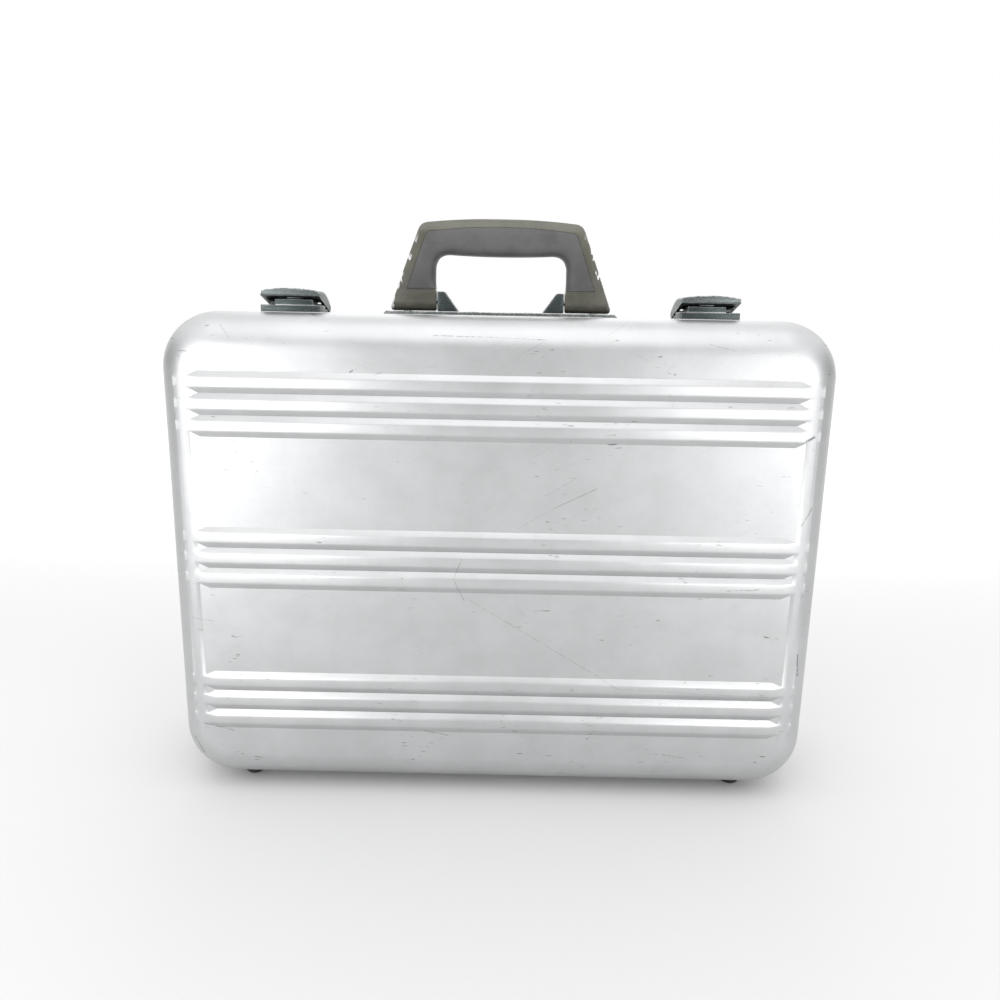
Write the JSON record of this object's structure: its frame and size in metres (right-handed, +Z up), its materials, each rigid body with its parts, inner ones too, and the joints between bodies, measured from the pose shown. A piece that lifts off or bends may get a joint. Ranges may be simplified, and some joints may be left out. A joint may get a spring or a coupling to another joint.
{
  "type": "attache case",
  "caption": "Rigid hinged attache case in ribbed satin sheet with a carrying handle, lever latches, lid stays and rubber feet.",
  "frame": {"origin": "on the ground, under the middle of the case standing on its feet", "axes": "+X along the case to the right seen from the lid side, +Y from the lid to the body, +Z up"},
  "size_m": [0.457, 0.127, 0.4135],
  "materials": {
    "satin_sheet": "satin, finely blasted and brushed",
    "frame_extrusion": "satin extrusion",
    "handle_moulding": "olive grey, semi-gloss",
    "grip_insert": "matte fine grain",
    "foot_rubber": "matte",
    "seal_rubber": "matte",
    "lining_cloth": "woven, over board",
    "pocket_leather": "grained",
    "die_cast_zinc": "die-cast zinc, satin",
    "steel_fittings": "brushed"
  },
  "bodies": {
    "lid": {"lid_shell": "satin_sheet", "lid_frame": "frame_extrusion", "lid_lining": "lining_cloth", "file_pocket": "pocket_leather", "card_pocket": "pocket_leather", "latch_keeper_left": "die_cast_zinc", "hinge_leaf_lid_left": "steel_fittings", "foot_lid_left": "foot_rubber", "stay_bracket_lid_left": "steel_fittings", "latch_keeper_right": "die_cast_zinc", "hinge_leaf_lid_right": "steel_fittings", "foot_lid_right": "foot_rubber", "stay_bracket_lid_right": "steel_fittings"},
    "handle": {"handle_shell": "handle_moulding", "handle_grip": "grip_insert"},
    "body": {"body_frame": "frame_extrusion", "body_lining": "lining_cloth", "body_shell": "satin_sheet", "foot_body_left": "foot_rubber", "foot_body_right": "foot_rubber", "handle_ear_left": "die_cast_zinc", "handle_ear_right": "die_cast_zinc", "handle_pin_left": "steel_fittings", "handle_pin_right": "steel_fittings", "handle_plate": "die_cast_zinc", "hinge_leaf_body_left": "steel_fittings", "hinge_leaf_body_right": "steel_fittings", "hinge_pin_left": "steel_fittings", "hinge_pin_right": "steel_fittings", "latch_base_left": "die_cast_zinc", "latch_base_right": "die_cast_zinc", "lever_pin_left": "steel_fittings", "lever_pin_right": "steel_fittings", "lever_spring_left": "steel_fittings", "lever_spring_right": "steel_fittings", "seal_gasket": "seal_rubber", "stay_bracket_body_left": "steel_fittings", "stay_bracket_body_right": "steel_fittings"},
    "latch_left": {"latch_lever_left": "die_cast_zinc"},
    "lock_left": {"lock_barrel_left": "steel_fittings"},
    "stay_lower_left": {"stay_link_body_left": "steel_fittings", "stay_elbow_rivet_left": "steel_fittings"},
    "stay_upper_left": {"stay_link_lid_left": "steel_fittings"},
    "latch_right": {"latch_lever_right": "die_cast_zinc"},
    "lock_right": {"lock_barrel_right": "steel_fittings"},
    "stay_lower_right": {"stay_link_body_right": "steel_fittings", "stay_elbow_rivet_right": "steel_fittings"},
    "stay_upper_right": {"stay_link_lid_right": "steel_fittings"}
  },
  "joints": [
    {"name": "lid_open", "type": "hinge", "parent": "body", "child": "lid", "pos_m": [0, -0.0135, 0.004], "axis": [1, 0, 0], "range_deg": [0, 95]},
    {"name": "handle_swing", "type": "hinge", "parent": "body", "child": "handle", "pos_m": [0, 0.0056, 0.357], "axis": [1, 0, 0], "range_deg": [-82, 82]},
    {"name": "latch_lift_left", "type": "hinge", "parent": "body", "child": "latch_left", "pos_m": [-0.1429, 0.0006, 0.3505], "axis": [-1, 0, 0], "range_deg": [0, 100]},
    {"name": "lock_turn_left", "type": "hinge", "parent": "latch_left", "child": "lock_left", "pos_m": [-0.1429, -0.018, 0.359], "axis": [0, 0, 1], "range_deg": [0, 90]},
    {"name": "stay_fold_left", "type": "hinge", "parent": "body", "child": "stay_lower_left", "pos_m": [-0.213, -0.0045, 0.086], "axis": [1, 0, 0], "range_deg": [0, 95]},
    {"name": "stay_swing_left", "type": "hinge", "parent": "lid", "child": "stay_upper_left", "pos_m": [-0.213, -0.0225, 0.086], "axis": [1, 0, 0], "range_deg": [-95, 0]},
    {"name": "latch_lift_right", "type": "hinge", "parent": "body", "child": "latch_right", "pos_m": [0.1429, 0.0006, 0.3505], "axis": [-1, 0, 0], "range_deg": [0, 100]},
    {"name": "lock_turn_right", "type": "hinge", "parent": "latch_right", "child": "lock_right", "pos_m": [0.1429, -0.018, 0.359], "axis": [0, 0, 1], "range_deg": [0, 90]},
    {"name": "stay_fold_right", "type": "hinge", "parent": "body", "child": "stay_lower_right", "pos_m": [0.213, -0.0045, 0.086], "axis": [1, 0, 0], "range_deg": [0, 95]},
    {"name": "stay_swing_right", "type": "hinge", "parent": "lid", "child": "stay_upper_right", "pos_m": [0.213, -0.0225, 0.086], "axis": [1, 0, 0], "range_deg": [-95, 0]}
  ],
  "couplings": [
    {"joint": "stay_fold_left", "follows": "lid_open", "ratio": 1},
    {"joint": "stay_swing_left", "follows": "lid_open", "ratio": -1},
    {"joint": "stay_fold_right", "follows": "lid_open", "ratio": 1},
    {"joint": "stay_swing_right", "follows": "lid_open", "ratio": -1}
  ]
}
